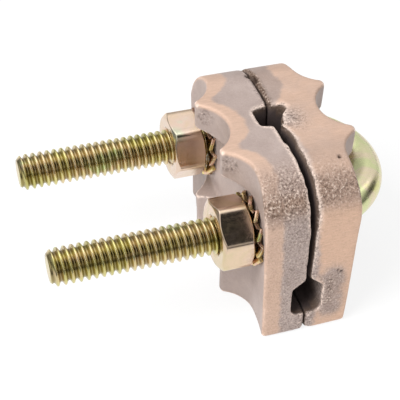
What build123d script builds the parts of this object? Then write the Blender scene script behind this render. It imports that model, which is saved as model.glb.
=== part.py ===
# U-bolt ground clamp: two cast jaws on the legs of a U-bolt, held by hex nuts over toothed lock washers.
# Millimetres, +Z up. X runs along the bolt legs, from the threaded ends towards the bow. The clamp stands
# on the long lower side of its jaws, with the origin below the middle of its whole length.
from math import asin, cos, radians, sin, sqrt, tan
import os

from build123d import *

os.makedirs("parts", exist_ok=True)

# U-bolt
bolt_d = 6.35
leg_spacing = 25.1
leg_reach = 42.5
bow_start = 4.45
leg_end_chamfer = 0.7

# threads of the legs
thread_pitch = 1.27
thread_length = 35.0
thread_depth = 0.66
thread_root_flat = 0.25
thread_crest_flat = 0.2
thread_overcut = 0.08

# jaws: sizes across the mating plane are taken at the foot of the casting, before its draft
jaw_length = 40.8
jaw_height = 32.2
leg_height = 19.2
end_thickness = 7.85
valley_thickness = 7.1
ridge_reach = 10.9
saddle_reach = 7.3
saddle_radius = 7.2
ridge_width = 1.3
flank_foot = 13.5
draft_deg = 1.8
top_corner_radius = 9.0
foot_corner_radius = 0.8
ridge_round = 0.6
bore_clearance = 0.55
edge_round = 0.55

# mating faces: half gaps measured from the mating plane
far_land_gap = 0.1
near_gap_foot = 0.3
near_gap_top = 0.65
lip_height = 4.1
near_land_start = 8.0
relief_gap = 0.95
mating_round = 0.7

# cable grooves
upright_groove_mouth = 6.0
upright_groove_floor = 4.5
upright_groove_depth = 3.1
long_groove_top = 12.3
long_groove_floor_top = 10.2
long_groove_floor_bottom = 5.1
long_groove_depth = 2.75
long_groove_toe = 1.9

# channel across the outer face, for lock washers and nuts or for the bow
channel_floor_half = 6.6
channel_flare_deg = 18.0
channel_reach = 7.7

# lock washers and nuts
washer_sheet = 0.65
washer_bore_clearance = 0.3
washer_body_d = 10.4
washer_d = 12.8
washer_teeth = 12
tooth_width = 1.9
tooth_twist_deg = 24.0
seat_gap = 0.02
nut_across_flats = 11.11
nut_thickness = 5.56
nut_bore_clearance = 0.05
nut_chamfer_deg = 30.0
nut_face_inset = 0.17
nut_turn_deg = {"lower": -11.0, "upper": 24.0}
nut_slack = {"lower": 0.0, "upper": 0.4}
cut_margin = 1.0

# places worked out from the sizes
bolt_r = bolt_d / 2
half_spacing = leg_spacing / 2
overall_length = leg_reach + bow_start + half_spacing + bolt_r
mate_x = leg_reach - overall_length / 2
base_z = 0.0
leg_sides = {"lower": -half_spacing, "upper": half_spacing}
leg_length = leg_reach + bow_start
tooth_length = (washer_d - washer_body_d) / 2
tooth_lean = radians(tooth_twist_deg)
washer_height = washer_sheet * cos(tooth_lean) + tooth_width * sin(tooth_lean)
washer_x = channel_reach + seat_gap + washer_height / 2
nut_seat = channel_reach + washer_height + 2 * seat_gap
ridge_inner = sqrt(saddle_radius ** 2 - (saddle_radius - ridge_reach + saddle_reach) ** 2)
ridge_outer = ridge_inner + ridge_width


# views from the mating plane's own origin: plan, long side and end, each sketch drawn from there
plan = Plane(origin=(mate_x, 0, base_z), x_dir=(1, 0, 0), z_dir=(0, 0, 1))
long_side = Plane(origin=(mate_x, 0, base_z), x_dir=(1, 0, 0), z_dir=(0, -1, 0))
across_legs = Plane(origin=(mate_x, 0, base_z), x_dir=(0, 1, 0), z_dir=(1, 0, 0))


def leg_point(side, across=0.0):
    """Point on a leg's axis, at a distance from the mating plane."""
    return (mate_x + across, leg_sides[side], leg_height)


def make_leg():
    """A bar with a right-hand thread from its chamfered end, drawn along +X from the origin."""
    slope = ((thread_pitch - thread_crest_flat - thread_root_flat) / 2) / thread_depth
    root_half = thread_root_flat / 2
    mouth_half = root_half + slope * (thread_depth + thread_overcut)
    with BuildPart() as leg:
        with BuildSketch(Plane.YZ):
            Circle(bolt_r)
        extrude(amount=leg_length)
        chamfer(leg.edges().group_by(Axis.X)[0], leg_end_chamfer)
        with BuildLine() as turns:
            Helix(thread_pitch, thread_length + thread_pitch, bolt_r,
                  center=(-thread_pitch, 0, 0), direction=(1, 0, 0))
        with BuildSketch(Plane(origin=turns.line @ 0, x_dir=(0, 0, 1), z_dir=turns.line % 0)) as groove:
            with BuildLine():
                Polyline((-thread_depth, -root_half), (-thread_depth, root_half),
                         (thread_overcut, mouth_half), (thread_overcut, -mouth_half), close=True)
            make_face()
        sweep(sections=groove.sketch, path=turns.line, is_frenet=True, mode=Mode.SUBTRACT)
    return leg.part


# U-bolt: one round bar, bent to a half circle between its two straight threaded legs
with BuildPart() as u_bolt:
    with BuildLine(Plane.XY.offset(leg_height)) as bow_line:
        RadiusArc((mate_x + bow_start, -half_spacing), (mate_x + bow_start, half_spacing), -half_spacing)
    with BuildSketch(Plane(origin=leg_point("lower", bow_start), z_dir=(1, 0, 0))) as bar_section:
        Circle(bolt_r)
    sweep(sections=bar_section.sketch, path=bow_line.line)
    with Locations([leg_point(side, -leg_reach) for side in leg_sides]):
        add(make_leg())
u_bolt.part.label = "u_bolt"
export_step(u_bolt.part, "parts/u_bolt.step")


def arc_radius(run, rise):
    """Radius of an arc that leaves a flat tangentially and has climbed by the rise after the run."""
    return (run * run + rise * rise) / (2 * rise)


def make_jaw():
    """The casting on the bow side of the mating plane; the other one is its mirror image."""
    half = jaw_length / 2
    back = -jaw_height * tan(radians(draft_deg)) - near_gap_top
    lean = (sin(radians(draft_deg)), 0, cos(radians(draft_deg)))
    all_along = 2 * jaw_length

    def valley_point(sign, run, rise, share):
        """Point of an arc from the foot of a flank, at a share of its whole angle."""
        radius = arc_radius(abs(run), rise)
        angle = share * asin(run / radius)
        return (valley_thickness + radius * (1 - cos(angle)), sign * (flank_foot + radius * sin(angle)))

    with BuildPart() as jaw:
        # the W-shaped section, drawn past the mating plane and drawn up along the draft
        with BuildSketch(plan) as section:
            with BuildLine():
                Polyline((end_thickness, -half), (back, -half), (back, half), (end_thickness, half))
                for sign in (-1, 1):
                    for run, rise in ((half - flank_foot, end_thickness - valley_thickness),
                                      (ridge_outer - flank_foot, ridge_reach - valley_thickness)):
                        ThreePointArc(*(valley_point(sign, run, rise, share) for share in (0, 0.5, 1)))
                    Line((ridge_reach, sign * ridge_outer), (ridge_reach, sign * ridge_inner))
                ThreePointArc((ridge_reach, -ridge_inner), (saddle_reach, 0), (ridge_reach, ridge_inner))
            make_face()
            ridge_corners = section.vertices().group_by(Axis.X)[-1]
            fillet(ridge_corners, min(ridge_round, ridge_width / 2.1))
        extrude(amount=jaw_height / cos(radians(draft_deg)), dir=lean)
        # the ends: large rounds at the top, small ones at the foot
        with BuildSketch(across_legs.offset(-jaw_length)) as end_view:
            with Locations((0, jaw_height / 2)):
                Rectangle(jaw_length, jaw_height)
            fillet(end_view.vertices().group_by(Axis.Y)[-1], top_corner_radius)
            fillet(end_view.vertices().group_by(Axis.Y)[0], foot_corner_radius)
        extrude(amount=all_along, mode=Mode.INTERSECT)
        # rounded casting edges along the outer face
        foot_edges = jaw.faces().sort_by(Axis.Z)[0].edges()
        outer_edges = foot_edges.filter_by_position(Axis.X, mate_x + near_gap_top, mate_x + jaw_length)
        fillet(outer_edges, min(edge_round, 0.92 * ridge_round))
        # the mating side: far land and foot lip all but touch, the near land's gap widens upwards
        with BuildSketch(plan):
            with Locations((far_land_gap, 0)):
                Rectangle(far_land_gap - back, all_along, align=(Align.MAX, Align.CENTER))
        extrude(amount=jaw_height, mode=Mode.SUBTRACT)
        mating_edges = jaw.faces().sort_by(Axis.X)[0].edges()
        fillet(mating_edges, min(mating_round, 0.9 * foot_corner_radius))
        with BuildSketch(long_side.offset(half)):
            with BuildLine():
                Polyline((back, lip_height), (near_gap_foot, lip_height), (near_gap_top, jaw_height),
                         (back, jaw_height), close=True)
            make_face()
        extrude(amount=near_land_start - half, mode=Mode.SUBTRACT)
        # relief between the near land and the upright groove
        with BuildSketch(plan.offset(lip_height)):
            Rectangle(2 * relief_gap, near_land_start, align=(Align.CENTER, Align.MAX))
        extrude(amount=jaw_height, mode=Mode.SUBTRACT)
        # upright cable groove, between the legs
        with BuildSketch(plan):
            with BuildLine():
                Polyline((back, -upright_groove_mouth / 2), (0, -upright_groove_mouth / 2),
                         (upright_groove_depth, -upright_groove_floor / 2),
                         (upright_groove_depth, upright_groove_floor / 2),
                         (0, upright_groove_mouth / 2), (back, upright_groove_mouth / 2), close=True)
            make_face()
        extrude(amount=jaw_height, mode=Mode.SUBTRACT)
        # lengthwise cable groove, below the legs
        with BuildSketch(long_side.offset(-jaw_length)):
            with BuildLine():
                Polyline((back, long_groove_top), (0, long_groove_top),
                         (long_groove_depth, long_groove_floor_top),
                         (long_groove_depth, long_groove_floor_bottom),
                         (long_groove_toe, lip_height), (back, lip_height), close=True)
            make_face()
        extrude(amount=all_along, mode=Mode.SUBTRACT)
        # bores for the legs, and a flared channel at their height that interrupts the ridges
        for side in leg_sides:
            with BuildSketch(Plane(origin=leg_point(side), z_dir=(1, 0, 0))):
                Circle(bolt_r + bore_clearance)
            extrude(amount=jaw_length, mode=Mode.SUBTRACT)
        with BuildSketch(across_legs.offset(channel_reach)):
            with Locations((0, leg_height)):
                SlotCenterToCenter(leg_spacing, 2 * channel_floor_half)
        extrude(amount=ridge_reach, taper=-channel_flare_deg, mode=Mode.SUBTRACT)
    return jaw.part


rod_side_part = make_jaw()
rod_side_part.label = "rod_side_jaw"
export_step(rod_side_part, "parts/rod_side_jaw.step")

nut_side_part = mirror(rod_side_part, about=Plane.YZ.offset(mate_x))
nut_side_part.label = "nut_side_jaw"
export_step(nut_side_part, "parts/nut_side_jaw.step")


def make_washer(side):
    """External-tooth lock washer in the channel of the nut-side jaw: a flat ring with twisted teeth."""
    middle = Plane(origin=leg_point(side, -washer_x), z_dir=(-1, 0, 0))
    with BuildPart() as washer:
        with BuildSketch(middle.offset(-washer_sheet / 2)):
            Circle(washer_body_d / 2)
            Circle(bolt_r + washer_bore_clearance, mode=Mode.SUBTRACT)
        extrude(amount=washer_sheet)
        with Locations(middle):
            with PolarLocations(washer_d / 2, washer_teeth):
                with Locations(Rotation(tooth_twist_deg, 0, 0)):
                    Box(tooth_length + washer_sheet, tooth_width, washer_sheet,
                        align=(Align.MAX, Align.CENTER, Align.CENTER))
    washer.part.label = side + "_lock_washer"
    export_step(washer.part, "parts/" + side + "_lock_washer.step")


def make_nut(side):
    """Hex nut with both faces chamfered, seated on its lock washer."""
    flat_r = nut_across_flats / 2
    face_r = flat_r - nut_face_inset
    reach = flat_r / cos(radians(30)) + cut_margin
    drop = (reach - face_r) * tan(radians(nut_chamfer_deg))
    seat = leg_point(side, -nut_seat - nut_slack[side])
    face = Plane(origin=seat, z_dir=(-1, 0, 0))
    turning_half = Plane(origin=seat, x_dir=(0, 1, 0), z_dir=(0, 0, 1))
    with BuildPart() as nut:
        with BuildSketch(face):
            RegularPolygon(flat_r, 6, major_radius=False, rotation=nut_turn_deg[side])
            Circle(bolt_r + nut_bore_clearance, mode=Mode.SUBTRACT)
        extrude(amount=nut_thickness)
        with BuildSketch(turning_half) as turned:
            with BuildLine():
                Polyline((0, 0), (face_r, 0), (reach, drop), (reach, nut_thickness - drop),
                         (face_r, nut_thickness), (0, nut_thickness), close=True)
            make_face()
        revolve(axis=Axis(seat, (1, 0, 0)), mode=Mode.INTERSECT)
    nut.part.label = side + "_nut"
    export_step(nut.part, "parts/" + side + "_nut.step")


for leg in leg_sides:
    make_washer(leg)
    make_nut(leg)
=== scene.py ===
import math

import bmesh
import bpy
import numpy as np
from mathutils import Matrix, Vector


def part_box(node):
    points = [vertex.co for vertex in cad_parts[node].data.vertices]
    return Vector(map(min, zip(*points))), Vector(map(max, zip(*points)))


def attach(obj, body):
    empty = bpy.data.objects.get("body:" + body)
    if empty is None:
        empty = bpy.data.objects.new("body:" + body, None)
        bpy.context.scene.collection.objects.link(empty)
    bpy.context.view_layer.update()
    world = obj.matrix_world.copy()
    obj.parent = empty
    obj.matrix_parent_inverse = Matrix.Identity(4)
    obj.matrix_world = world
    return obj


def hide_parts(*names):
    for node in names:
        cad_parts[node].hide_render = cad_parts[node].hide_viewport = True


# U-bolt ground clamp. Sizes are millimetres unless a note says otherwise, and mm turns them into metres.
mm = 0.001

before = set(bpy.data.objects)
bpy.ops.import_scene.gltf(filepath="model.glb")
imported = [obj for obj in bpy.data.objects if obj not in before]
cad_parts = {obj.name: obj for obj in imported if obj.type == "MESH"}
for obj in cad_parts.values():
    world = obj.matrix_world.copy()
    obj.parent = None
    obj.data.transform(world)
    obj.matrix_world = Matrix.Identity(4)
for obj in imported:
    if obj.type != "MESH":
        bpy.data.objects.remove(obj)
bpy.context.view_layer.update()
print("stage: frame loaded,", len(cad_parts), "nodes")


# places read from the frame, in millimetres

def nodeBox(name):
    low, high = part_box(name)
    return np.array(low) / mm, np.array(high) / mm


boltLow, boltHigh = nodeBox("u_bolt")
barRadius = (boltHigh[2] - boltLow[2]) / 2
halfSpacing = (boltHigh[1] - boltLow[1]) / 2 - barRadius
legHeight = (boltHigh[2] + boltLow[2]) / 2
legEndX = boltLow[0]
bowCentreX = boltHigh[0] - barRadius - halfSpacing
mateX = (nodeBox("nut_side_jaw")[1][0] + nodeBox("rod_side_jaw")[0][0]) / 2
legY = {"lower": -halfSpacing, "upper": halfSpacing}


# camera: the photograph's place and direction, found from the thread crests of both legs

cameraSet = {
    "place": (-50.92, -145.84, 147.58),
    "forward": (0.2432, 0.7207, -0.6492),
    "up": (0.1825, 0.6233, 0.7603),
    "lens": 103.5,
    "sensor": 36.0,
    "clipStart": 0.01,      # in metres
}


def makeCamera(c):
    forward = Vector(c["forward"]).normalized()
    right = forward.cross(Vector(c["up"])).normalized()
    up = right.cross(forward)
    data = bpy.data.cameras.new("camera")
    data.lens = c["lens"]
    data.sensor_width = c["sensor"]
    data.clip_start = c["clipStart"]
    cam = bpy.data.objects.new("camera", data)
    bpy.context.scene.collection.objects.link(cam)
    turn = Matrix((right, up, -forward)).transposed().to_4x4()
    cam.matrix_world = Matrix.Translation(Vector(c["place"]) * mm) @ turn
    bpy.context.scene.camera = cam


makeCamera(cameraSet)


# mesh helpers

def surfaceMesh(name, points, quads):
    # One object from arrays of points (millimetres) and of four-cornered faces.
    mesh = bpy.data.meshes.new(name)
    mesh.vertices.add(len(points))
    mesh.vertices.foreach_set("co", (points * mm).astype(np.float32).ravel())
    mesh.loops.add(quads.size)
    mesh.loops.foreach_set("vertex_index", quads.astype(np.int32).ravel())
    mesh.polygons.add(len(quads))
    mesh.polygons.foreach_set("loop_start", np.arange(0, quads.size, 4, dtype=np.int32))
    mesh.polygons.foreach_set("use_smooth", np.ones(len(quads), bool))
    mesh.update(calc_edges=True)
    mesh.validate()
    obj = bpy.data.objects.new(name, mesh)
    bpy.context.scene.collection.objects.link(obj)
    return obj


def gridQuads(rows, cols, wrapRows=False, wrapCols=False):
    # Faces of a grid of rows x cols points, numbered row by row, each face with its four neighbours.
    i = np.arange(rows if wrapRows else rows - 1)[:, None]
    j = np.arange(cols if wrapCols else cols - 1)[None, :]
    down, along = (i + 1) % rows, (j + 1) % cols
    corners = [i * cols + j, i * cols + along, down * cols + along, down * cols + j]
    return np.stack([c + np.zeros_like(i + j) for c in corners], -1).reshape(-1, 4)


def closeMesh(obj, distance=1e-6):
    # Merges the points that lie on one another, such as those of a cap's middle, and turns faces outwards.
    bm = bmesh.new()
    bm.from_mesh(obj.data)
    bmesh.ops.remove_doubles(bm, verts=bm.verts, dist=distance)
    bmesh.ops.dissolve_degenerate(bm, edges=bm.edges, dist=distance / 2)
    bmesh.ops.recalc_face_normals(bm, faces=bm.faces)
    bm.to_mesh(obj.data)
    bm.free()
    obj.data.update()


def readPoints(mesh, what):
    # The mesh's points, or its normals, as rows of three numbers.
    values = np.zeros(len(mesh.vertices) * 3, np.float32)
    mesh.vertices.foreach_get(what, values)
    return values.reshape(-1, 3).astype(float)


def addLayer(mesh, key, values):
    # One number for each point of the mesh, which a material can read.
    layer = mesh.attributes.new(key, "FLOAT", "POINT")
    layer.data.foreach_set("value", values.astype(np.float32).ravel())


def aroundLeg(side, x, radius, angle):
    # Points at a radius and at an angle from +Y towards +Z about the side's leg, one row for each x.
    y = legY[side] + radius * np.cos(angle)[None, :]
    z = legHeight + radius * np.sin(angle)[None, :]
    return np.stack([x, y, z], -1).reshape(-1, 3)


# smooth steps and noise

def mixSmooth(x):
    # 3x^2 - 2x^3 of x held between 0 and 1.
    x = np.clip(x, 0.0, 1.0)
    return x * x * (3.0 - 2.0 * x)


def fadeIn(x, start, span):
    # From 0 at the start to 1 a span beyond it.
    return mixSmooth((x - start) / span)


def fadeOut(x, end, span):
    # From 1 a span before the end to 0 at the end.
    return mixSmooth((end - x) / span)


def bump(x, middle, halfWidth):
    # 1 at the middle, falling smoothly to 0 at the half width on both sides.
    return mixSmooth(1.0 - np.abs(x - middle) / halfWidth)


def softMin(a, b, width):
    # The smaller of two arrays, rounded where they are closer than the width.
    h = np.clip(0.5 + 0.5 * (b - a) / width, 0.0, 1.0)
    return b * (1.0 - h) + a * h - width * h * (1.0 - h) / 2.0


def latticeHash(cell, seed):
    # A number between 0 and 1 for each whole-numbered cell, from products and xors of its three indices.
    a, b, c = (cell[..., k].astype(np.int64) for k in range(3))
    n = a * 73856093 ^ b * 19349663 ^ c * 83492791 ^ (seed * 2654435761)
    n = (n ^ (n >> 13)) * 1274126177 & 0x7FFFFFFF
    n = (n ^ (n >> 16)) & 0xFFFFFF
    return n / float(0xFFFFFF)


def valueNoise(points, size, seed):
    # Noise from -1 to 1: the hash at the eight corners of a cell of that size, blended with smooth steps.
    p = points / size
    base = np.floor(p).astype(np.int64)
    t = mixSmooth(p - base)
    total = np.zeros(len(p))
    for dx in (0, 1):
        for dy in (0, 1):
            for dz in (0, 1):
                weight = np.ones(len(p))
                for axis, d in enumerate((dx, dy, dz)):
                    weight = weight * (t[:, axis] if d else 1.0 - t[:, axis])
                total += weight * latticeHash(base + np.array((dx, dy, dz)), seed)
    return total * 2.0 - 1.0


# U-bolt: bar with rolled threads on both legs

boltSet = {
    "pitch": 1.27,
    "threadDepth": 0.66,
    "startTurn": 0.25,      # as the solid's: its root is on top at the leg's end
    "threadEnd": 35.6,      # threaded length of each leg
    "runOut": 1.0,
    "rootFlat": 0.16,
    "crestFlat": 0.16,
    "flankRound": 0.55,     # share of the rounded flank, the rest being straight
    "samplesPerPitch": 14,
    "plainSteps": 12,
    "bowStep": 0.7,
    "around": 56,
    "endChamfer": 0.8,
    "leastRadius": 0.1,
    "capShares": (0.72, 0.36, 0.0),     # radii of the rings that close a leg's flat end
    "bowBlend": 4.0,        # length over which the bow's own tones begin
}


def threadRise(along, angle, depthShare, b):
    # 0 at the root and 1 at the crest: a triangle wave of along/pitch - angle/turn + start, cut flat and
    # rounded.
    wave = (along / b["pitch"] - angle / (2.0 * math.pi) + b["startTurn"]) % 1.0
    wave = 1.0 - np.abs(2.0 * wave - 1.0)
    rise = (wave - b["rootFlat"]) / (1.0 - b["rootFlat"] - b["crestFlat"])
    rise = np.clip(rise, 0.0, 1.0)
    rise = (1.0 - b["flankRound"]) * rise + b["flankRound"] * mixSmooth(rise)
    return 1.0 - depthShare * (1.0 - rise)


def makeBolt(b):
    # A circle of angle a round a centre line: leg, half circle and leg again. Its radius is the bar's, less
    # the thread's depth times one minus the thread's rise, and less a cone at the two ends.
    legLength = bowCentreX - legEndX
    arcLength = math.pi * halfSpacing
    total = 2.0 * legLength + arcLength
    legSteps = int(b["threadEnd"] / b["pitch"] * b["samplesPerPitch"])
    threaded = np.linspace(0.0, b["threadEnd"], legSteps + 1)
    plain = np.linspace(b["threadEnd"], legLength, b["plainSteps"])[1:]
    arc = np.linspace(legLength, legLength + arcLength, int(arcLength / b["bowStep"]))[1:-1]
    first = np.concatenate([threaded, plain])
    along = np.concatenate([first, arc, total - first[::-1]])
    angle = np.arange(b["around"]) * 2.0 * math.pi / b["around"]

    turn = np.clip((along - legLength) / halfSpacing, 0.0, math.pi)
    reach = np.minimum(along, total - along)
    x = np.where(turn <= 0.0, legEndX + along, bowCentreX + halfSpacing * np.sin(turn))
    x = np.where(turn >= math.pi, legEndX + total - along, x)
    y = -halfSpacing * np.cos(turn)
    centre = np.stack([x, y, np.full_like(x, legHeight)], -1)
    outward = np.stack([np.sin(turn), -np.cos(turn), np.zeros_like(turn)], -1)
    upward = np.array([0.0, 0.0, 1.0])

    # the angle is taken from +Y towards +Z on both legs, so that both threads are right-handed
    hand = np.where(along < total / 2, -1.0, 1.0)[:, None]
    threadAngle = np.arctan2(np.sin(angle)[None, :], hand * np.cos(angle)[None, :])
    depthShare = 1.0 - fadeIn(reach, b["threadEnd"] - b["runOut"], b["runOut"])
    rise = threadRise(reach[:, None], threadAngle, depthShare[:, None], b)
    radius = barRadius - b["threadDepth"] * (1.0 - rise)
    cone = barRadius - b["endChamfer"] + reach[:, None]
    radius = np.minimum(radius, np.maximum(cone, b["leastRadius"]))
    ring = np.cos(angle)[None, :, None] * outward[:, None, :] + np.sin(angle)[None, :, None] * upward
    points = centre[:, None, :] + radius[..., None] * ring

    # flat ends: rings that shrink to a point
    capRings = len(b["capShares"])
    capShares = np.array(b["capShares"])[:, None, None]
    startCap = centre[0] + (points[0] - centre[0])[None] * capShares[::-1]
    endCap = centre[-1] + (points[-1] - centre[-1])[None] * capShares
    points = np.concatenate([startCap, points, endCap])
    quads = gridQuads(len(points), b["around"], wrapCols=True)
    bolt = surfaceMesh("uBolt", points.reshape(-1, 3), quads)
    # crest: 1 on the crests and 0 in the thread roots, where the plating paints shade
    crest = np.ones(points.shape[:2])
    crest[capRings:-capRings] = 1.0 - (1.0 - rise) * (reach < legLength - 1e-6)[:, None]
    addLayer(bolt.data, "crest", crest)
    addLayer(bolt.data, "bow", fadeIn(points[..., 0], bowCentreX, b["bowBlend"]))
    closeMesh(bolt)
    return bolt


# hex nuts

nutSet = {
    "faceInset": 0.17,      # the flat end face's circle lies this far inside the hexagon's sides
    "chamferDeg": 30.0,
    "cornerRound": 0.38,
    "cornerShare": 0.6,     # how far the rounding cuts into the corner, as a share of itself
    "edgeBlend": 0.30,
    "boreMargin": 0.05,
    "countersink": 0.55,
    "sinkSlope": 0.8,       # how far the countersink widens the bore, as a share of its depth
    "around": 360,
    "endSpan": 1.15,        # the rings lie close together up to this far from each end face
    "endPower": 1.1,
    "endRings": 15,
    "middleRings": 10,
    "faceRings": 5,
    "boreRings": 12,
}


def legOffsets(node, side):
    # How far each point of the node lies from the leg's axis, along Y and along Z.
    co = readPoints(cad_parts[node].data, "co").astype(np.float32) / mm
    return co[:, 1] - legY[side], co[:, 2] - legHeight


def cornerAngle(node, side):
    # Angle of the hexagon's corner about its leg, from +Y towards +Z, read from the node's outermost point.
    dy, dz = legOffsets(node, side)
    k = np.argmax(np.round(np.hypot(dy, dz), 2))
    return math.atan2(dz[k], dy[k])


def nodeFlat(node, side):
    # Half the distance across the flats: the outermost radius times the cosine of 30 degrees.
    return np.hypot(*legOffsets(node, side)).max() * math.cos(math.pi / 6.0)


def makeNut(side, n):
    # A closed profile carried round the leg: along the side with its two chamfers, in over one end face,
    # through the plain bore and out over the other. The side's radius at angle a is the hexagon's,
    # flat/cos(a from the face's middle), rounded at the corners, and never more than the chamfer's cone.
    node = side + "_nut"
    low, high = nodeBox(node)
    thickness = high[0] - low[0]
    turn = cornerAngle(node, side)
    angle = np.arange(n["around"]) * 2.0 * math.pi / n["around"]
    flat = nodeFlat(node, side)
    sector = (angle - turn) % (math.pi / 3.0) - math.pi / 6.0
    hexRadius = flat / np.cos(sector)
    cornerCut = flat / math.cos(math.pi / 6.0) - n["cornerRound"] * n["cornerShare"]
    hexRadius = softMin(hexRadius, np.full_like(hexRadius, cornerCut), n["cornerRound"])

    # outer side: heights close together near the two ends, where the chamfer lies
    ends = np.linspace(0.0, 1.0, n["endRings"]) ** n["endPower"] * n["endSpan"]
    middle = np.linspace(n["endSpan"], thickness - n["endSpan"], n["middleRings"])[1:-1]
    height = np.concatenate([ends, middle, thickness - ends[::-1]])
    fromFace = np.minimum(height, thickness - height)
    cone = flat - n["faceInset"] + fromFace / math.tan(math.radians(n["chamferDeg"]))
    sideRadius = softMin(hexRadius[None, :], cone[:, None], n["edgeBlend"])
    outer = np.stack([np.broadcast_to(height[:, None], sideRadius.shape), sideRadius], -1)

    # end faces and the bore with its countersinks
    bore = barRadius + n["boreMargin"]
    sink = n["countersink"]
    faceShares = np.linspace(1.0, 0.0, n["faceRings"])[1:]
    inner = bore + sink * n["sinkSlope"]
    faceTop = inner + (sideRadius[-1][None] - inner) * faceShares[:, None]
    faceTop = np.stack([np.full_like(faceTop, thickness), faceTop], -1)
    boreHeight = np.linspace(thickness - sink, sink, n["boreRings"])
    boreRows = np.stack(np.broadcast_arrays(boreHeight[:, None], np.full(n["around"], bore)), -1)
    faceLow = faceTop[::-1].copy()
    faceLow[..., 0] = 0.0
    profile = np.concatenate([outer, faceTop, boreRows, faceLow])
    points = aroundLeg(side, high[0] - profile[..., 0], profile[..., 1], angle)
    quads = gridQuads(len(profile), n["around"], wrapRows=True, wrapCols=True)
    nut = surfaceMesh(side + "Nut", points, quads)
    closeMesh(nut)
    return nut


# external-tooth lock washers

washerSet = {
    "sheet": 0.65,
    "bodyRadius": 5.2,
    "teeth": 12,
    "toothWidth": 1.9,
    "twistDeg": 24.0,
    "boreMargin": 0.3,
    "toothSamples": 13,
    "gapSamples": 9,
    "wallAngle": 0.02,      # angle that a tooth's side takes to rise, in radians
    "twistFrom": -0.5,      # from the ring's edge outwards, where the sheet begins to tilt
    "shadeFrom": -0.2,      # and where the teeth's own tone begins
    "span": 0.8,
    # the loop across the sheet: share of the way out, and side of the sheet, with rounded rims
    "ways": (0.0, 0.02, 0.2, 0.45, 0.7, 0.85, 0.985, 1.0, 1.0, 0.985, 0.85, 0.7, 0.45, 0.2, 0.02, 0.0),
    "sides": (-0.6, -1.0, -1.0, -1.0, -1.0, -1.0, -1.0, -0.6, 0.6, 1.0, 1.0, 1.0, 1.0, 1.0, 1.0, 0.6),
}


def makeWasher(side, w):
    # A flat loop of sheet carried round the leg. Its outer radius steps between the ring's and the teeth's,
    # and towards the teeth the sheet tilts about each tooth's own middle line by the twist's tangent.
    low, high = nodeBox(side + "_lock_washer")
    middleX = (low[0] + high[0]) / 2
    toothRadius = (high[2] - low[2]) / 2
    boreRadius = barRadius + w["boreMargin"]
    pitchAngle = 2.0 * math.pi / w["teeth"]
    halfTooth = w["toothWidth"] / 2 / toothRadius
    wall = w["wallAngle"]
    onTooth = np.linspace(-halfTooth, halfTooth, w["toothSamples"])
    inGap = np.linspace(halfTooth + wall, pitchAngle - halfTooth - wall, w["gapSamples"])
    oneTooth = np.concatenate([onTooth, inGap])
    isTooth = np.concatenate([np.ones(len(onTooth)), np.zeros(len(inGap))])
    starts = np.arange(w["teeth"])[:, None] * pitchAngle
    angle = (starts + oneTooth[None, :]).ravel()
    tooth = np.tile(isTooth, w["teeth"])
    gapShare = (oneTooth - halfTooth) / (pitchAngle - 2.0 * halfTooth)
    offset = np.where(oneTooth <= halfTooth, oneTooth, halfTooth * (1.0 - 2.0 * gapShare))
    offset = np.tile(offset, w["teeth"])
    outer = w["bodyRadius"] + (toothRadius - w["bodyRadius"]) * tooth

    ways, sides = np.array(w["ways"]), np.array(w["sides"])
    radius = boreRadius + (outer[None, :] - boreRadius) * ways[:, None]
    tilt = fadeIn(radius, w["bodyRadius"] + w["twistFrom"], w["span"]) * math.tan(math.radians(w["twistDeg"]))
    x = middleX - (sides[:, None] * w["sheet"] / 2 + tilt * offset[None, :] * radius)
    quads = gridQuads(len(ways), len(angle), wrapRows=True, wrapCols=True)
    washer = surfaceMesh(side + "LockWasher", aroundLeg(side, x, radius, angle), quads)
    # tooth: 0 on the ring inside the teeth, where the plating paints shade
    addLayer(washer.data, "tooth", fadeIn(radius, w["bodyRadius"] + w["shadeFrom"], w["span"]))
    closeMesh(washer)
    return washer


# cast jaws

jawSet = {
    "voxel": 0.27,
    "smoothSteps": 4,
    "smoothFactor": 0.5,
    "wave": (6.5, 0.08),    # size and height of the slow wave of the skin
    "grains": ((1.1, 0.040), (0.60, 0.042), (0.36, 0.030)),     # and of each layer of the cast grain
    "groundShare": 0.10,    # how much of the grain is left where the casting was ground
    "corner": 9.0,          # radius of the casting's upper corners
    "draftDeg": 1.8,
    "farWay": 3.0,          # way round the near bend that the far half is given, well past its end
    "edgeFrom": 0.018,      # a point is on an edge where it stands out this far from its neighbours
    "edgeSpan": 0.020,
    "rimSteps": 4,          # how many points the worn rim of the mating face spreads from its edge
    "rimSpread": 1.5,
    "rimWear": {"nut_side_jaw": 0.10, "rod_side_jaw": 0.34},
    "rimGrain": (0.9, 0.7),     # size of the wear's own noise, and its share of the wear
    "farFrom": 2.5,         # beyond the upright groove the rim is worn further, by a share of itself
    "farSpan": 1.5,
    "farWear": 1.7,
}
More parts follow.
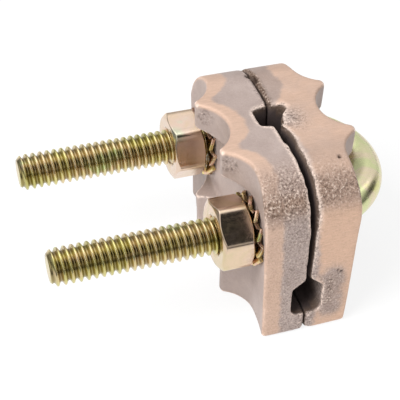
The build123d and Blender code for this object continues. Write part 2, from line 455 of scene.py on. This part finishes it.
# rough flash in the near corner of the rod side's upright groove
flashSet = {
    "place": (14.0, -1.5),
    "size": (2.1, 2.6),
    "push": (-2.1, 0.2),
    "bottom": 26.8,
    "rise": 3.5,
    "sandy": 1.6,
    "grain": (0.8, 0.16),
}
pitSet = {
    # blowholes: place, radius and depth
    "holes": {
        "nut_side_jaw": (((4.4, -20.4, 25.8), 0.35, 0.20), ((4.0, -20.4, 25.2), 0.30, 0.15),
                         ((10.9, 12.2, 32.2), 0.8, 0.35)),
        "rod_side_jaw": (((17.6, -13.4, 32.0), 0.38, 0.60), ((16.3, -20.4, 13.0), 0.24, 0.25),
                         ((17.0, -20.4, 12.6), 0.28, 0.25), ((11.1, 11.2, 32.2), 1.2, 0.80)),
    },
    "holeReach": 1.3,       # a hole ends at this many radii from its middle
    # pitted skin beside the two upper ridges of the nut side: place and radius
    "spots": {
        "nut_side_jaw": (((0.6, 5.2, 30.0), 1.5), ((0.4, -8.2, 30.0), 1.6)),
        "rod_side_jaw": (),
    },
    "spotReach": 1.5,
    "speckleSize": 0.42,
    "speckleFrom": 0.15,
    "speckleSpan": 0.35,
    "speckleDepth": 0.10,
    "spotShare": 0.5,       # how strong a spot is beside a hole
}


def makeJaw(node, name, j, seed):
    # The solid's own surface in even cells, its edges softened, then each point moved along its normal by a
    # slow wave and by layers of value noise, which the ground band round the rim nearly loses.
    obj = bpy.data.objects.new(name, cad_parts[node].data.copy())
    bpy.context.scene.collection.objects.link(obj)
    closeMesh(obj, 1e-7)
    remesh = obj.modifiers.new("cells", "REMESH")
    remesh.mode = "VOXEL"
    remesh.voxel_size = j["voxel"] * mm
    remesh.use_smooth_shade = True
    smooth = obj.modifiers.new("soften", "SMOOTH")
    smooth.factor = j["smoothFactor"]
    smooth.iterations = j["smoothSteps"]
    evaluated = obj.evaluated_get(bpy.context.evaluated_depsgraph_get())
    mesh = bpy.data.meshes.new_from_object(evaluated)
    obj.modifiers.clear()
    obj.data = mesh
    mesh.name = name
    co = readPoints(mesh, "co") / mm
    normal = readPoints(mesh, "normal")

    masks = jawMasks(co, node, j)
    ends, count = meshEdges(mesh)
    lift = np.einsum("ij,ij->i", co - neighbourMean(co, ends, count), normal)
    # edge: convex edges, which the material makes lighter, partly as wear and partly as a painted highlight;
    # the worn rim likewise
    masks["edge"] = fadeIn(lift, j["edgeFrom"], j["edgeSpan"])
    rim = masks["edge"] * masks.pop("rimZone")
    for step in range(j["rimSteps"]):
        rim = np.maximum(rim, j["rimSpread"] * neighbourMean(rim[:, None], ends, count)[:, 0])
    masks["rim"] = np.clip(rim, 0.0, 1.0)

    waveSize, waveHeight = j["wave"]
    rimSize, rimShare = j["rimGrain"]
    height = waveHeight * valueNoise(co, waveSize, seed)
    wear = j["rimWear"][node] * (1.0 + j["farWear"] * fadeIn(co[:, 1], j["farFrom"], j["farSpan"]))
    height = height - wear * masks["rim"] * (1.0 + rimShare * valueNoise(co, rimSize, seed + 5))
    rough = (1.0 - (1.0 - j["groundShare"]) * masks["ground"]) * masks["sandy"]
    for k, (size, grain) in enumerate(j["grains"]):
        height = height + grain * rough * valueNoise(co, size, seed + 11 * (k + 1))
    if node == "rod_side_jaw":
        height = height + addFlash(co, masks, flashSet, seed)
    height = height - addPits(co, masks, node, pitSet, seed)
    co = co + normal * height[:, None]
    mesh.vertices.foreach_set("co", (co * mm).astype(np.float32).ravel())
    mesh.polygons.foreach_set("use_smooth", np.ones(len(mesh.polygons), bool))
    for key, values in masks.items():
        addLayer(mesh, key, values)
    mesh.update()
    return obj


def addFlash(co, masks, f, seed):
    # Pushes the points sideways by a bell, exp(-distance^2) in units of its size, that fades in above the
    # bottom. Returns the height of its own grain.
    away = (co[:, :2] - np.array(f["place"])) / np.array(f["size"])
    flash = np.exp(-(away ** 2).sum(axis=1)) * fadeIn(co[:, 2], f["bottom"], f["rise"])
    masks["sandy"] = np.maximum(masks["sandy"], f["sandy"] * flash)
    masks["ground"] = masks["ground"] * (1.0 - flash)
    size, grain = f["grain"]
    height = grain * flash * valueNoise(co, size, seed + 6)
    co[:, :2] += flash[:, None] * np.array(f["push"])
    return height


def addPits(co, masks, node, p, seed):
    # The depth of the blowholes and of the speckled spots: smooth steps of the reach less distance/radius.
    depths = np.zeros(len(co))
    # pit: the holes and specks, where the material paints shade
    masks["pit"] = np.zeros(len(co))

    def around(place, radius, reach):
        return mixSmooth(reach - np.linalg.norm(co - np.array(place), axis=1) / radius)

    for place, radius, depth in p["holes"][node]:
        hole = around(place, radius, p["holeReach"])
        depths = depths + depth * hole
        masks["pit"] = np.maximum(masks["pit"], hole)
    for place, radius in p["spots"][node]:
        spot = around(place, radius, p["spotReach"]) * (1.0 - masks["ground"])
        noise = valueNoise(co, p["speckleSize"], seed + 21)
        speckle = spot * fadeIn(noise, p["speckleFrom"], p["speckleSpan"])
        depths = depths + p["speckleDepth"] * speckle
        masks["sandy"] = np.maximum(masks["sandy"], p["spotShare"] * spot)
        masks["pit"] = np.maximum(masks["pit"], p["spotShare"] * speckle)
    return depths


def meshEdges(mesh):
    # The two ends of each edge, and how many edges meet in each point.
    ends = np.zeros(len(mesh.edges) * 2, np.int32)
    mesh.edges.foreach_get("vertices", ends)
    return ends.reshape(-1, 2), np.bincount(ends, minlength=len(mesh.vertices))


def neighbourMean(values, ends, count):
    # The mean of the neighbours' values, column by column.
    total = np.zeros(values.shape)
    for here, there in ((0, 1), (1, 0)):
        for axis in range(values.shape[1]):
            total[:, axis] += np.bincount(ends[:, here], values[ends[:, there], axis], len(values))
    return total / np.maximum(count, 1)[:, None]


# the castings' skin: where each look begins, how it fades and how strong it is
skinSet = {
    "wander": ((0.5, 4.2, 5), (0.3, 1.5, 6), (0.3, 0.5, 7)),    # share, size and seed of the borders' noise
    "slice": 0.25,          # width of the slices in which the outer face is looked for
    "rimFrom": 0.30,        # depth below the rim at which its skin begins to end
    "rimSpan": 0.35,
    "endFrom": 0.10,        # way round the near bend at which the end face begins, going down
    "endSpan": 0.12,
    "matingWidth": 1.5,     # strip of the rim beside the mating face
    "matingWander": 0.5,
    "matingSpan": 0.9,
    "baseSand": 0.07,       # grain everywhere, round the near bend, on the near end and at the mating face
    "bendSand": 1.1,
    "endSand": 0.50,
    "matingSand": 0.5,
    "bendMiddle": 0.45,
    "bendHalf": 0.62,
    "insideWidth": 4.2,     # inner faces are those up to this distance from the mating plane
    "insideSpan": 0.5,
    "deepFrom": 0.30,       # depth below the rim at which the painted shade begins
    "deepFromGroove": 1.5,  # and in the rod side's grooves, from this distance off the mating plane
    "grooveFrom": 1.5,
    "deepSpan": 1.6,
    "wallFrom": 0.2,
    "wallSpan": 0.4,
    "wornWidth": 4.4,       # the rim that wears
    "wornWidthSpan": 0.4,
    "wornDepth": 1.6,
    "wornEndShare": 0.8,    # how much less of it there is on the near end
    "brownWander": 0.5,     # how far the brown's strength wanders, and how much of the ground look it takes
    "brownCut": 0.9,
    "groundSand": 0.8,      # how much of the grain the ground look takes
    "mostSand": 1.6,
}
nutSkin = {
    "band": 3.1,            # width of the ground band along the outer edge
    "bandMore": 0.5,        # and its further width towards the far end
    "moreFrom": 8.0,
    "moreSpan": 5.0,
    "bandSpan": 0.9,
    "bandWander": 0.8,
    "bandShare": 0.74,
    "browns": ((1.0, 0.37, 0.27), (0.45, 0.70, 0.4)),       # share, middle and half width round the bend
}
rodSkin = {
    "plain": 1.4,           # width left as cast beside the mating face
    "plainMore": 2.6,       # and its further width towards the far end
    "moreFrom": 1.0,
    "moreSpan": 7.0,
    "plainSpan": 1.2,
    "plainWander": 1.3,
    "topDull": 0.38,        # how much less of the ground look the top has, beyond this way round the bend
    "topFrom": 0.6,
    "topSpan": 0.5,
    "topWander": (0.8, 0.5),        # strength as a constant and a share of the borders' noise
    "browns": ((0.9, 0.47, 0.33), (0.40, 0.85, 0.45)),
    "patchZ": (8.3, 8.3),   # brown patch on the near end: middle and half width up and outwards
    "patchOut": (4.4, 3.6),
    "patchShare": 0.5,
    "patchCut": 2.2,
    "patchWander": (0.8, 0.9),
    "castBrown": 0.35,      # brown of what is left as cast, and of the mating face from this way on
    "castWay": 0.2,
    "farFrom": 2.5,         # beyond the upright groove the mating line is rough and brown, with painted shade along it
    "farSpan": 1.5,
    "farBrown": 0.9,
    "farSand": 0.7,
    "lineShadeWidth": 1.0,
    "lineShadeWander": 0.6,
    "lineShadeSpan": 0.4,
    "lineShadeFarSpan": 1.0,
    "lineShadeShare": 0.8,
    # the mouth of the lengthwise groove is rough and catches the light, so the grooves' painted shade is left
    # out there
    "mouthZ": (8.7, 5.2),
    "mouthFrom": (0.8, 0.6),        # start and span outwards from the mating plane, and end and span
    "mouthTo": (4.6, 0.3),
    "mouthEnd": (-11.0, 7.0),       # and its end along the casting
    "mouthSand": 0.6,
}


def jawPlaces(co, node, j, s):
    # For each point: its distance from the mating plane, its distance into the casting from the rim, which is
    # a rectangle with two round corners along the legs, its way round the near bend, from 0 where the end
    # face begins to bend to 1 where the top begins, and its distance from the outer face, which is the
    # outermost point of each slice across the legs, less the draft.
    high = nodeBox(node)[1]
    corner = j["corner"]
    y, z = co[:, 1], co[:, 2]
    out = (mateX - co[:, 0]) if node == "nut_side_jaw" else (co[:, 0] - mateX)

    pastY = np.abs(y) - (high[1] - corner)
    pastZ = z - (high[2] - corner)
    fromRim = np.where((pastY > 0) & (pastZ > 0), corner - np.hypot(pastY, pastZ),
                       corner - np.maximum(pastY, pastZ))
    fromRim = np.minimum(fromRim, z)

    arc = corner * math.pi / 2
    way = np.arctan2(np.maximum(pastZ, 0), np.maximum(pastY, 1e-6)) / (math.pi / 2)
    way = np.where(pastZ < 0, pastZ / arc, np.where(pastY < 0, 1.0 - pastY / arc, way))
    way = np.where(y < 0, way, j["farWay"])

    lean = math.tan(math.radians(j["draftDeg"]))
    slot = np.clip(((y - y.min()) / s["slice"]).astype(int), 0, None)
    reach = np.zeros(slot.max() + 1)
    np.maximum.at(reach, slot, out - z * lean)
    return out, fromRim, way, reach[slot] + z * lean - out


def jawMasks(co, node, j):
    # Where the casting was ground, its grain is coarse, it is brown, and shade is painted in its grooves, gap
    # and mating line, each from 0 to 1: smooth steps of the distances from the outer face, from the rim and
    # round the near bend.
    s = skinSet
    isNutSide = node == "nut_side_jaw"
    y, z = co[:, 1], co[:, 2]
    out, fromRim, way, fromOuter = jawPlaces(co, node, j, s)
    wander = sum(share * valueNoise(co, size, seed) for share, size, seed in s["wander"])
    onRim = 1.0 - fadeIn(fromRim, s["rimFrom"], s["rimSpan"])
    nearEnd = fadeOut(way, s["endFrom"], s["endSpan"])
    atMating = fadeOut(out, s["matingWidth"] + s["matingWander"] * wander, s["matingSpan"]) * onRim

    sandy = s["baseSand"] + s["matingSand"] * atMating
    sandy = sandy + onRim * s["bendSand"] * bump(way, s["bendMiddle"], s["bendHalf"])
    sandy = sandy + onRim * s["endSand"] * nearEnd
    # deep and wall: painted shade on the inner faces by the mating plane, wall from just below the rim, deep
    # further down into the grooves and gap
    start = np.where((out < s["grooveFrom"]) | isNutSide, s["deepFrom"], s["deepFromGroove"])
    inside = fadeOut(out, s["insideWidth"], s["insideSpan"])
    deep = fadeIn(fromRim, start, s["deepSpan"]) * inside
    wall = fadeIn(fromRim, s["wallFrom"], s["wallSpan"]) * inside
    browns = (nutSkin if isNutSide else rodSkin)["browns"]
    brown = sum(share * bump(way, middle, half) for share, middle, half in browns)

    if isNutSide:
        k = nutSkin
        width = k["band"] + k["bandMore"] * fadeIn(y, k["moreFrom"], k["moreSpan"])
        width = width + k["bandWander"] * wander
        ground = k["bandShare"] * fadeOut(fromOuter, width + k["bandSpan"] / 2, k["bandSpan"])
        dull = 0.0
    else:
        k = rodSkin
        plain = k["plain"] + k["plainMore"] * fadeIn(y, k["moreFrom"], k["moreSpan"])
        plain = plain + k["plainWander"] * wander
        ground = fadeIn(out, plain - k["plainSpan"] / 2, k["plainSpan"])
        patch = bump(z, *k["patchZ"]) * bump(out, *k["patchOut"]) * nearEnd
        steady, wandering = k["patchWander"]
        ground = ground * (1.0 - mixSmooth(k["patchCut"] * patch * (steady + wandering * wander)))
        steady, wandering = k["topWander"]
        dull = k["topDull"] * fadeIn(way, k["topFrom"], k["topSpan"]) * (steady + wandering * wander)
        farRim = atMating * fadeIn(y, k["farFrom"], k["farSpan"])
        brown = brown + k["patchShare"] * patch
        brown = np.maximum(brown, k["castBrown"] * (1.0 - ground) * (y > 0.0))
        brown = np.maximum(brown, k["castBrown"] * atMating * (way > k["castWay"]))
        brown = np.maximum(brown, k["farBrown"] * farRim)
        mouth = fadeIn(out, *k["mouthFrom"]) * fadeOut(out, *k["mouthTo"])
        mouth = mouth * bump(z, *k["mouthZ"]) * fadeOut(y, *k["mouthEnd"])
        deep, wall = deep * (1.0 - mouth), wall * (1.0 - mouth)
        sandy = sandy + k["farSand"] * farRim + k["mouthSand"] * mouth
        # painted shade along the far mating line, given through the wall
        lineShade = onRim * fadeOut(out, k["lineShadeWidth"] + k["lineShadeWander"] * wander, k["lineShadeSpan"])
        wall = np.maximum(wall, k["lineShadeShare"] * lineShade * fadeIn(y, k["farFrom"], k["lineShadeFarSpan"]))

    brown = onRim * np.clip(brown * (1.0 + s["brownWander"] * wander), 0.0, 1.0)
    ground = onRim * ground * (1.0 - dull) * (1.0 - s["brownCut"] * brown)
    sandy = np.clip(sandy * (1.0 - s["groundSand"] * ground), 0.0, s["mostSand"])
    rimZone = fadeOut(out, s["wornWidth"], s["wornWidthSpan"]) * mixSmooth(s["wornDepth"] - fromRim)
    rimZone = rimZone * (1.0 - s["wornEndShare"] * nearEnd)
    return {"ground": ground, "brown": brown, "sandy": sandy, "deep": deep, "wall": wall, "rimZone": rimZone}


# materials

def newMaterial(name):
    mat = bpy.data.materials.new(name)
    mat.use_nodes = True
    nodes, links = mat.node_tree.nodes, mat.node_tree.links
    return mat, nodes, links, nodes["Principled BSDF"]


def addNoise(nodes, links, vector, scale, detail=4.0, roughness=0.55, distortion=0.0):
    noise = nodes.new("ShaderNodeTexNoise")
    noise.inputs["Scale"].default_value = scale
    noise.inputs["Detail"].default_value = detail
    noise.inputs["Roughness"].default_value = roughness
    noise.inputs["Distortion"].default_value = distortion
    links.new(vector, noise.inputs["Vector"])
    return noise.outputs["Fac"]


def addRamp(nodes, links, value, stops, smooth=False):
    ramp = nodes.new("ShaderNodeValToRGB")
    ramp.color_ramp.interpolation = "EASE" if smooth else "LINEAR"
    while len(ramp.color_ramp.elements) < len(stops):
        ramp.color_ramp.elements.new(0.5)
    for element, (place, colour) in zip(ramp.color_ramp.elements, stops):
        element.position = place
        element.color = (*colour, 1.0)
    links.new(value, ramp.inputs["Fac"])
    return ramp.outputs["Color"]


def addMix(nodes, links, share, first, second):
    mix = nodes.new("ShaderNodeMix")
    mix.data_type = "RGBA"
    # the colour sockets share their names with the float and vector ones, so they are taken by number
    for socket, value in ((mix.inputs[0], share), (mix.inputs[6], first), (mix.inputs[7], second)):
        if isinstance(value, bpy.types.NodeSocket):
            links.new(value, socket)
        else:
            socket.default_value = (*value, 1.0)
    return mix.outputs[2]


def addMath(nodes, links, operation, first, second, clamp=False):
    node = nodes.new("ShaderNodeMath")
    node.operation = operation
    node.use_clamp = clamp
    for socket, value in zip(node.inputs, (first, second)):
        if isinstance(value, bpy.types.NodeSocket):
            links.new(value, socket)
        else:
            socket.default_value = value
    return node.outputs[0]


def addBump(nodes, links, height, strength, distance, normal=None):
    node = nodes.new("ShaderNodeBump")
    node.inputs["Strength"].default_value = strength
    node.inputs["Distance"].default_value = distance
    links.new(height, node.inputs["Height"])
    if normal is not None:
        links.new(normal, node.inputs["Normal"])
    return node.outputs["Normal"]


def addVectorMath(nodes, links, operation, first, second=None):
    # A node that works on two vectors, the second a constant one or none.
    node = nodes.new("ShaderNodeVectorMath")
    node.operation = operation
    links.new(first, node.inputs[0])
    if second is not None:
        node.inputs[1].default_value = second
    return node.outputs["Vector" if operation == "SUBTRACT" else "Value"]


def addMirrored(nodes, links):
    # The node of the ray's kind, and 1 for what only a reflection or a glass would see.
    path = nodes.new("ShaderNodeLightPath")
    return path, addMath(nodes, links, "MAXIMUM", path.outputs["Is Glossy Ray"],
                         path.outputs["Is Transmission Ray"])


def grey(v):
    return (v, v, v)


def addAttribute(nodes, name):
    node = nodes.new("ShaderNodeAttribute")
    node.attribute_name = name
    return node.outputs["Fac"]


def objectPlace(nodes, links, scale=None):
    # The point on the piece, in metres, drawn out by the scale of each axis.
    place = nodes.new("ShaderNodeTexCoord").outputs["Object"]
    if scale is None:
        return place
    mapping = nodes.new("ShaderNodeMapping")
    mapping.inputs["Scale"].default_value = scale
    links.new(place, mapping.inputs["Vector"])
    return mapping.outputs["Vector"]


# noises are given as scale per metre, detail, roughness and distortion, and bumps as strength and depth in
# metres
castSet = {
    "castTones": ((0.32, (0.365, 0.290, 0.262)), (0.50, (0.405, 0.324, 0.293)),
                  (0.70, (0.455, 0.368, 0.336))),
    "groundTones": ((0.30, (0.56, 0.366, 0.258)), (0.70, (0.75, 0.500, 0.360))),
    "groundShare": 0.85,
    "brownTone": (0.31, 0.205, 0.150),
    "brownShare": 0.85,
    # lighter worn edges and rim, partly wear and partly a painted highlight
    "edgeWearAndHighlightTone": (0.95, 0.78, 0.68),
    "edgeWearAndHighlightShare": 0.85,
    "rimShare": 0.8,
    # painted shade: inner walls, deep grooves and gap, pits, and the grain's hollows
    "wallShadeTone": (0.16, 0.110, 0.083),
    "deepShadeTone": (0.105, 0.080, 0.076),
    "pitShadeTone": (0.035, 0.020, 0.016),
    "hollowShadeTone": (0.09, 0.055, 0.040),
    "hollowShadeStops": ((0.36, grey(1.0)), (0.47, grey(0.0))),
    # painted glints on the grain's crests
    "glintTone": (0.86, 0.70, 0.60),
    "glintStops": ((0.55, grey(0.0)), (0.66, grey(1.0))),
    "grainShare": 0.75,
    "cloud": (190.0, 5.0, 0.62),
    "sand": (2650.0, 2.0, 0.7, 0.4),
    "fine": (6000.0, 2.0, 0.6),
    "streaks": (5200.0, 4.0, 0.7),
    "streakStretch": (0.12, 1.0, 1.0),
    "metallic": 0.45,
    "specular": 0.15,
    "roughStops": ((0.3, grey(0.38)), (0.7, grey(0.58))),
    "shadeZoneRoughness": 0.85,
    "baseGrain": 0.06,
    "sandBump": (1.0, 0.00036),
    "fineBump": (0.30, 0.00005),
    "streakBump": (0.35, 0.00003),
}


def castMaterial(c):
    # Bronze as cast, grey and sandy, with a ground copper-coloured band and a coarse brown bend. Its worn
    # edges are lighter, partly from wear and partly a painted highlight; the grain has painted shade in its
    # hollows and painted glints on its crests; the grooves, the gap and the pits have painted shade.
    mat, nodes, links, shader = newMaterial("castBronze")

    def times(first, second):
        return addMath(nodes, links, "MULTIPLY", first, second)

    place = objectPlace(nodes, links)
    cloud = addNoise(nodes, links, place, *c["cloud"])
    sand = addNoise(nodes, links, place, *c["sand"])
    fine = addNoise(nodes, links, place, *c["fine"])
    streaks = addNoise(nodes, links, objectPlace(nodes, links, c["streakStretch"]), *c["streaks"])
    ground, brown, deep, wall, sandy, edge, rim, pit = (
        addAttribute(nodes, k) for k in ("ground", "brown", "deep", "wall", "sandy", "edge", "rim", "pit"))

    tone = addRamp(nodes, links, cloud, c["castTones"])
    groundTone = addRamp(nodes, links, streaks, c["groundTones"])
    tone = addMix(nodes, links, times(ground, c["groundShare"]), tone, groundTone)
    tone = addMix(nodes, links, times(brown, c["brownShare"]), tone, c["brownTone"])
    # worn edges and rim: lighter from wear, with a painted highlight laid on
    wornAndHighlit = addMath(nodes, links, "MAXIMUM", edge, times(rim, c["rimShare"]))
    tone = addMix(nodes, links, times(wornAndHighlit, c["edgeWearAndHighlightShare"]), tone, c["edgeWearAndHighlightTone"])
    # painted shade on the inner walls near the rim and along the far mating line
    tone = addMix(nodes, links, wall, tone, c["wallShadeTone"])

    # painted shade in the grain's hollows and painted glints on its crests
    grain = addMath(nodes, links, "MAXIMUM", sandy, rim, clamp=True)
    grainShare = times(grain, c["grainShare"])
    hollowShade = times(addRamp(nodes, links, sand, c["hollowShadeStops"]), grainShare)
    tone = addMix(nodes, links, hollowShade, tone, c["hollowShadeTone"])
    glints = times(addRamp(nodes, links, sand, c["glintStops"]), grainShare)
    tone = addMix(nodes, links, glints, tone, c["glintTone"])
    # painted shade deep in the grooves and the gap, and in the pits and specks
    tone = addMix(nodes, links, deep, tone, c["deepShadeTone"])
    tone = addMix(nodes, links, pit, tone, c["pitShadeTone"])
    links.new(tone, shader.inputs["Base Color"])
    shader.inputs["Metallic"].default_value = c["metallic"]
    shader.inputs["Specular IOR Level"].default_value = c["specular"]

    rough = addRamp(nodes, links, fine, c["roughStops"])
    # rougher where the shade is painted
    shadeZone = addMath(nodes, links, "MAXIMUM", deep, wall)
    links.new(addMix(nodes, links, shadeZone, rough, grey(c["shadeZoneRoughness"])), shader.inputs["Roughness"])

    sandHeight = times(sand, addMath(nodes, links, "ADD", grain, c["baseGrain"]))
    normal = addBump(nodes, links, sandHeight, *c["sandBump"])
    normal = addBump(nodes, links, fine, *c["fineBump"], normal)
    normal = addBump(nodes, links, times(streaks, ground), *c["streakBump"], normal)
    links.new(normal, shader.inputs["Normal"])
    return mat


# yellow zinc plating of each piece: tones of its clouds, their scale, how rough it is, and what else it has
boltFinish = {
    "tones": ((0.60, 0.55, 0.20), (0.78, 0.70, 0.30), (0.84, 0.66, 0.40), (0.66, 0.74, 0.36)),
    "scale": 160.0,
    "roughness": 0.24,
    "rootLayer": "crest",
    # painted shade in the thread roots
    "rootShadeTone": (0.20, 0.14, 0.05),
    "bowTones": ((0.72, 0.70, 0.32), (0.78, 0.66, 0.47), (0.68, 0.70, 0.38)),
}
nutFinish = {
    "tones": ((0.73, 0.61, 0.37), (0.82, 0.63, 0.45), (0.84, 0.65, 0.53), (0.73, 0.72, 0.54)),
    "scale": 130.0,
    "roughness": 0.22,
}
washerFinish = {
    "tones": ((0.60, 0.42, 0.20), (0.84, 0.72, 0.28), (0.86, 0.56, 0.44), (0.66, 0.74, 0.28)),
    "scale": 260.0,
    "roughness": 0.26,
    "rootLayer": "tooth",
    # painted shade on the ring between the teeth
    "rootShadeTone": (0.10, 0.06, 0.03),
}
# and what all plating shares
platedSet = {
    "cloud": (3.0, 0.55, 0.6),      # detail, roughness and distortion of the clouds
    "blotch": (1500.0, 3.0, 0.6),
    "dents": (420.0, 2.0, 0.5),
    "blotchBump": (0.06, 0.00005),
    "dentBump": (0.10, 0.0003),
    "toneFrom": 0.30,
    "toneSpan": 0.42,
    "bowToneFrom": 0.40,
    "bowToneStep": 0.10,
    # how much of the roots' painted shade is laid on
    "rootShadeShare": 0.70,
    "roughSpread": ((0.3, -0.04), (0.7, 0.05)),     # share of the blotches, and what they add there
}


def platedMaterial(name, own, p):
    # Slow clouds of the passivated film's colours, finely scratched, with painted shade in the thread roots
    # and on the washer's ring between the teeth, and paler on the bow.
    mat, nodes, links, shader = newMaterial(name)
    place = objectPlace(nodes, links)
    cloud = addNoise(nodes, links, place, own["scale"], *p["cloud"])
    step = p["toneSpan"] / (len(own["tones"]) - 1)
    stops = [(p["toneFrom"] + step * k, film) for k, film in enumerate(own["tones"])]
    tone = addRamp(nodes, links, cloud, stops)
    if "bowTones" in own:
        stops = [(p["bowToneFrom"] + p["bowToneStep"] * k, film) for k, film in enumerate(own["bowTones"])]
        tone = addMix(nodes, links, addAttribute(nodes, "bow"), tone, addRamp(nodes, links, cloud, stops))
    blotch = addNoise(nodes, links, place, *p["blotch"])
    # painted shade in the bolt's thread roots and on the washer's ring
    if "rootLayer" in own:
        rootShade = addMath(nodes, links, "SUBTRACT", 1.0, addAttribute(nodes, own["rootLayer"]), clamp=True)
        rootShade = addMath(nodes, links, "MULTIPLY", rootShade, p["rootShadeShare"])
        tone = addMix(nodes, links, rootShade, tone, own["rootShadeTone"])
    links.new(tone, shader.inputs["Base Color"])
    shader.inputs["Metallic"].default_value = 1.0
    stops = [(share, grey(own["roughness"] + more)) for share, more in p["roughSpread"]]
    links.new(addRamp(nodes, links, blotch, stops), shader.inputs["Roughness"])
    normal = addBump(nodes, links, blotch, *p["blotchBump"])
    normal = addBump(nodes, links, addNoise(nodes, links, place, *p["dents"]), *p["dentBump"], normal)
    links.new(normal, shader.inputs["Normal"])
    return mat


castBronze = castMaterial(castSet)
platedBolt = platedMaterial("platedBolt", boltFinish, platedSet)
platedNut = platedMaterial("platedNut", nutFinish, platedSet)
platedWasher = platedMaterial("platedWasher", washerFinish, platedSet)


def dress(obj, material, body, node):
    obj.data.materials.clear()
    obj.data.materials.append(material)
    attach(obj, body)
    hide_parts(node)


dress(makeBolt(boltSet), platedBolt, "u_bolt", "u_bolt")
print("stage: bolt made")
for side in ("lower", "upper"):
    dress(makeNut(side, nutSet), platedNut, side + "_nut", side + "_nut")
    dress(makeWasher(side, washerSet), platedWasher, "nut_side", side + "_lock_washer")
print("stage: nuts and washers made")
dress(makeJaw("nut_side_jaw", "nutSideJaw", jawSet, 3), castBronze, "nut_side", "nut_side_jaw")
dress(makeJaw("rod_side_jaw", "rodSideJaw", jawSet, 8), castBronze, "rod_side", "rod_side_jaw")
print("stage: jaws made")


# floor, world and lamps

stageSet = {
    "floorSize": 4.0,       # in metres
    "floorDiffuse": 0.86,
    "floorLift": 0.84,      # share of plain white that the camera sees in the floor
    "mirrorMiddle": (0.10, 0.17, 0.0),      # to the metal the floor is white about here, in metres,
    "mirrorNear": 0.21,                     # up to this distance, and dim from the next one on
    "mirrorFar": 0.36,
    "mirrorDim": 0.14,
    "worldSoft": 0.57,
    # brightness of the room in the metal, by the height of the direction from -1 to 1
    "roomStops": ((0.0, 0.14), (0.17, 0.13), (0.36, 0.62), (0.60, 1.0), (1.0, 1.0)),
    # patches of the room that differ: direction, cosines where the patch starts and is full, brightness
    "patches": (
        ((0.26, -0.57, 0.78), 0.86, 0.93, 0.02),
        ((0.10, 0.97, 0.20), 0.80, 0.95, 0.50),
        ((0.90, 0.42, 0.10), 0.74, 0.92, 0.85),
        ((0.96, 0.02, 0.20), 0.962, 0.985, 0.04),
        ((0.77, 0.17, 0.62), 0.985, 0.996, 1.7),
    ),
}


def makeFloor(s):
    # White to the camera but for a share of its shadow; in the metal it fades with the distance from the
    # middle, as a sheet of paper on a table does.
    half = s["floorSize"] / 2 / mm
    corners = np.array([(-half, -half, 0.0), (half, -half, 0.0), (half, half, 0.0), (-half, half, 0.0)])
    floor = surfaceMesh("floor", corners, np.array([[0, 1, 2, 3]]))
    mat, nodes, links, shader = newMaterial("floorPaper")
    shader.inputs["Base Color"].default_value = (*grey(s["floorDiffuse"]), 1.0)
    shader.inputs["Roughness"].default_value = 1.0
    shader.inputs["Specular IOR Level"].default_value = 0.0
    path, mirrored = addMirrored(nodes, links)
    fromMiddle = addVectorMath(nodes, links, "SUBTRACT", objectPlace(nodes, links), s["mirrorMiddle"])
    distance = addVectorMath(nodes, links, "LENGTH", fromMiddle)
    stops = ((s["mirrorNear"], grey(1.0)), (s["mirrorFar"], grey(s["mirrorDim"])))
    fade = addRamp(nodes, links, distance, stops, smooth=True)
    white = nodes.new("ShaderNodeEmission")
    links.new(addMix(nodes, links, mirrored, grey(1.0), fade), white.inputs["Color"])
    seen = addMath(nodes, links, "MULTIPLY", path.outputs["Is Camera Ray"], s["floorLift"])
    mix = nodes.new("ShaderNodeMixShader")
    links.new(addMath(nodes, links, "MAXIMUM", seen, mirrored), mix.inputs[0])
    links.new(shader.outputs[0], mix.inputs[1])
    links.new(white.outputs[0], mix.inputs[2])
    links.new(mix.outputs[0], nodes["Material Output"].inputs["Surface"])
    floor.data.materials.append(mat)


def makeWorld(s):
    # White to the camera. The metal sees a room that is dim towards the horizon and bright overhead, with
    # a few patches of its own; everything else is lit by an even soft grey.
    world = bpy.data.worlds.new("studio")
    bpy.context.scene.world = world
    world.use_nodes = True
    nodes, links = world.node_tree.nodes, world.node_tree.links
    direction = nodes.new("ShaderNodeTexCoord").outputs["Generated"]
    split = nodes.new("ShaderNodeSeparateXYZ")
    links.new(direction, split.inputs[0])
    room = addRamp(nodes, links, split.outputs["Z"], [(z, grey(v)) for z, v in s["roomStops"]])
    for middle, start, full, level in s["patches"]:
        dot = addVectorMath(nodes, links, "DOT_PRODUCT", direction, Vector(middle).normalized())
        share = addRamp(nodes, links, dot, ((start, grey(0.0)), (full, grey(1.0))), smooth=True)
        room = addMix(nodes, links, share, room, grey(level))
    path, mirrored = addMirrored(nodes, links)
    tone = addMix(nodes, links, mirrored, grey(s["worldSoft"]), room)
    tone = addMix(nodes, links, path.outputs["Is Camera Ray"], tone, grey(1.0))
    background = nodes["Background"]
    links.new(tone, background.inputs["Color"])
    background.inputs["Strength"].default_value = 1.0


lampSet = {
    "top": {"place": (-60, 120, 420), "size": 260, "power": 0.25, "mirrored": True},
    "front": {"place": (160, -380, 190), "size": 260, "power": 0.2, "mirrored": False},
    "left": {"place": (-300, -110, 360), "size": 260, "power": 3.3, "mirrored": False},
}


def makeLamp(name, lamp):
    # A square lamp that looks at the middle of the mating plane at the legs' height.
    data = bpy.data.lights.new(name, "AREA")
    data.shape = "SQUARE"
    data.size = lamp["size"] * mm
    data.energy = lamp["power"]
    obj = bpy.data.objects.new(name, data)
    bpy.context.scene.collection.objects.link(obj)
    place = Vector(lamp["place"]) * mm
    aim = Vector((mateX, 0.0, legHeight)) * mm - place
    obj.location = place
    obj.rotation_euler = aim.to_track_quat("-Z", "Y").to_euler()
    obj.visible_glossy = lamp["mirrored"]


makeFloor(stageSet)
makeWorld(stageSet)
for lampName, lamp in lampSet.items():
    makeLamp(lampName, lamp)
bpy.context.scene.view_settings.view_transform = "Standard"
print("stage: floor and lamps made")
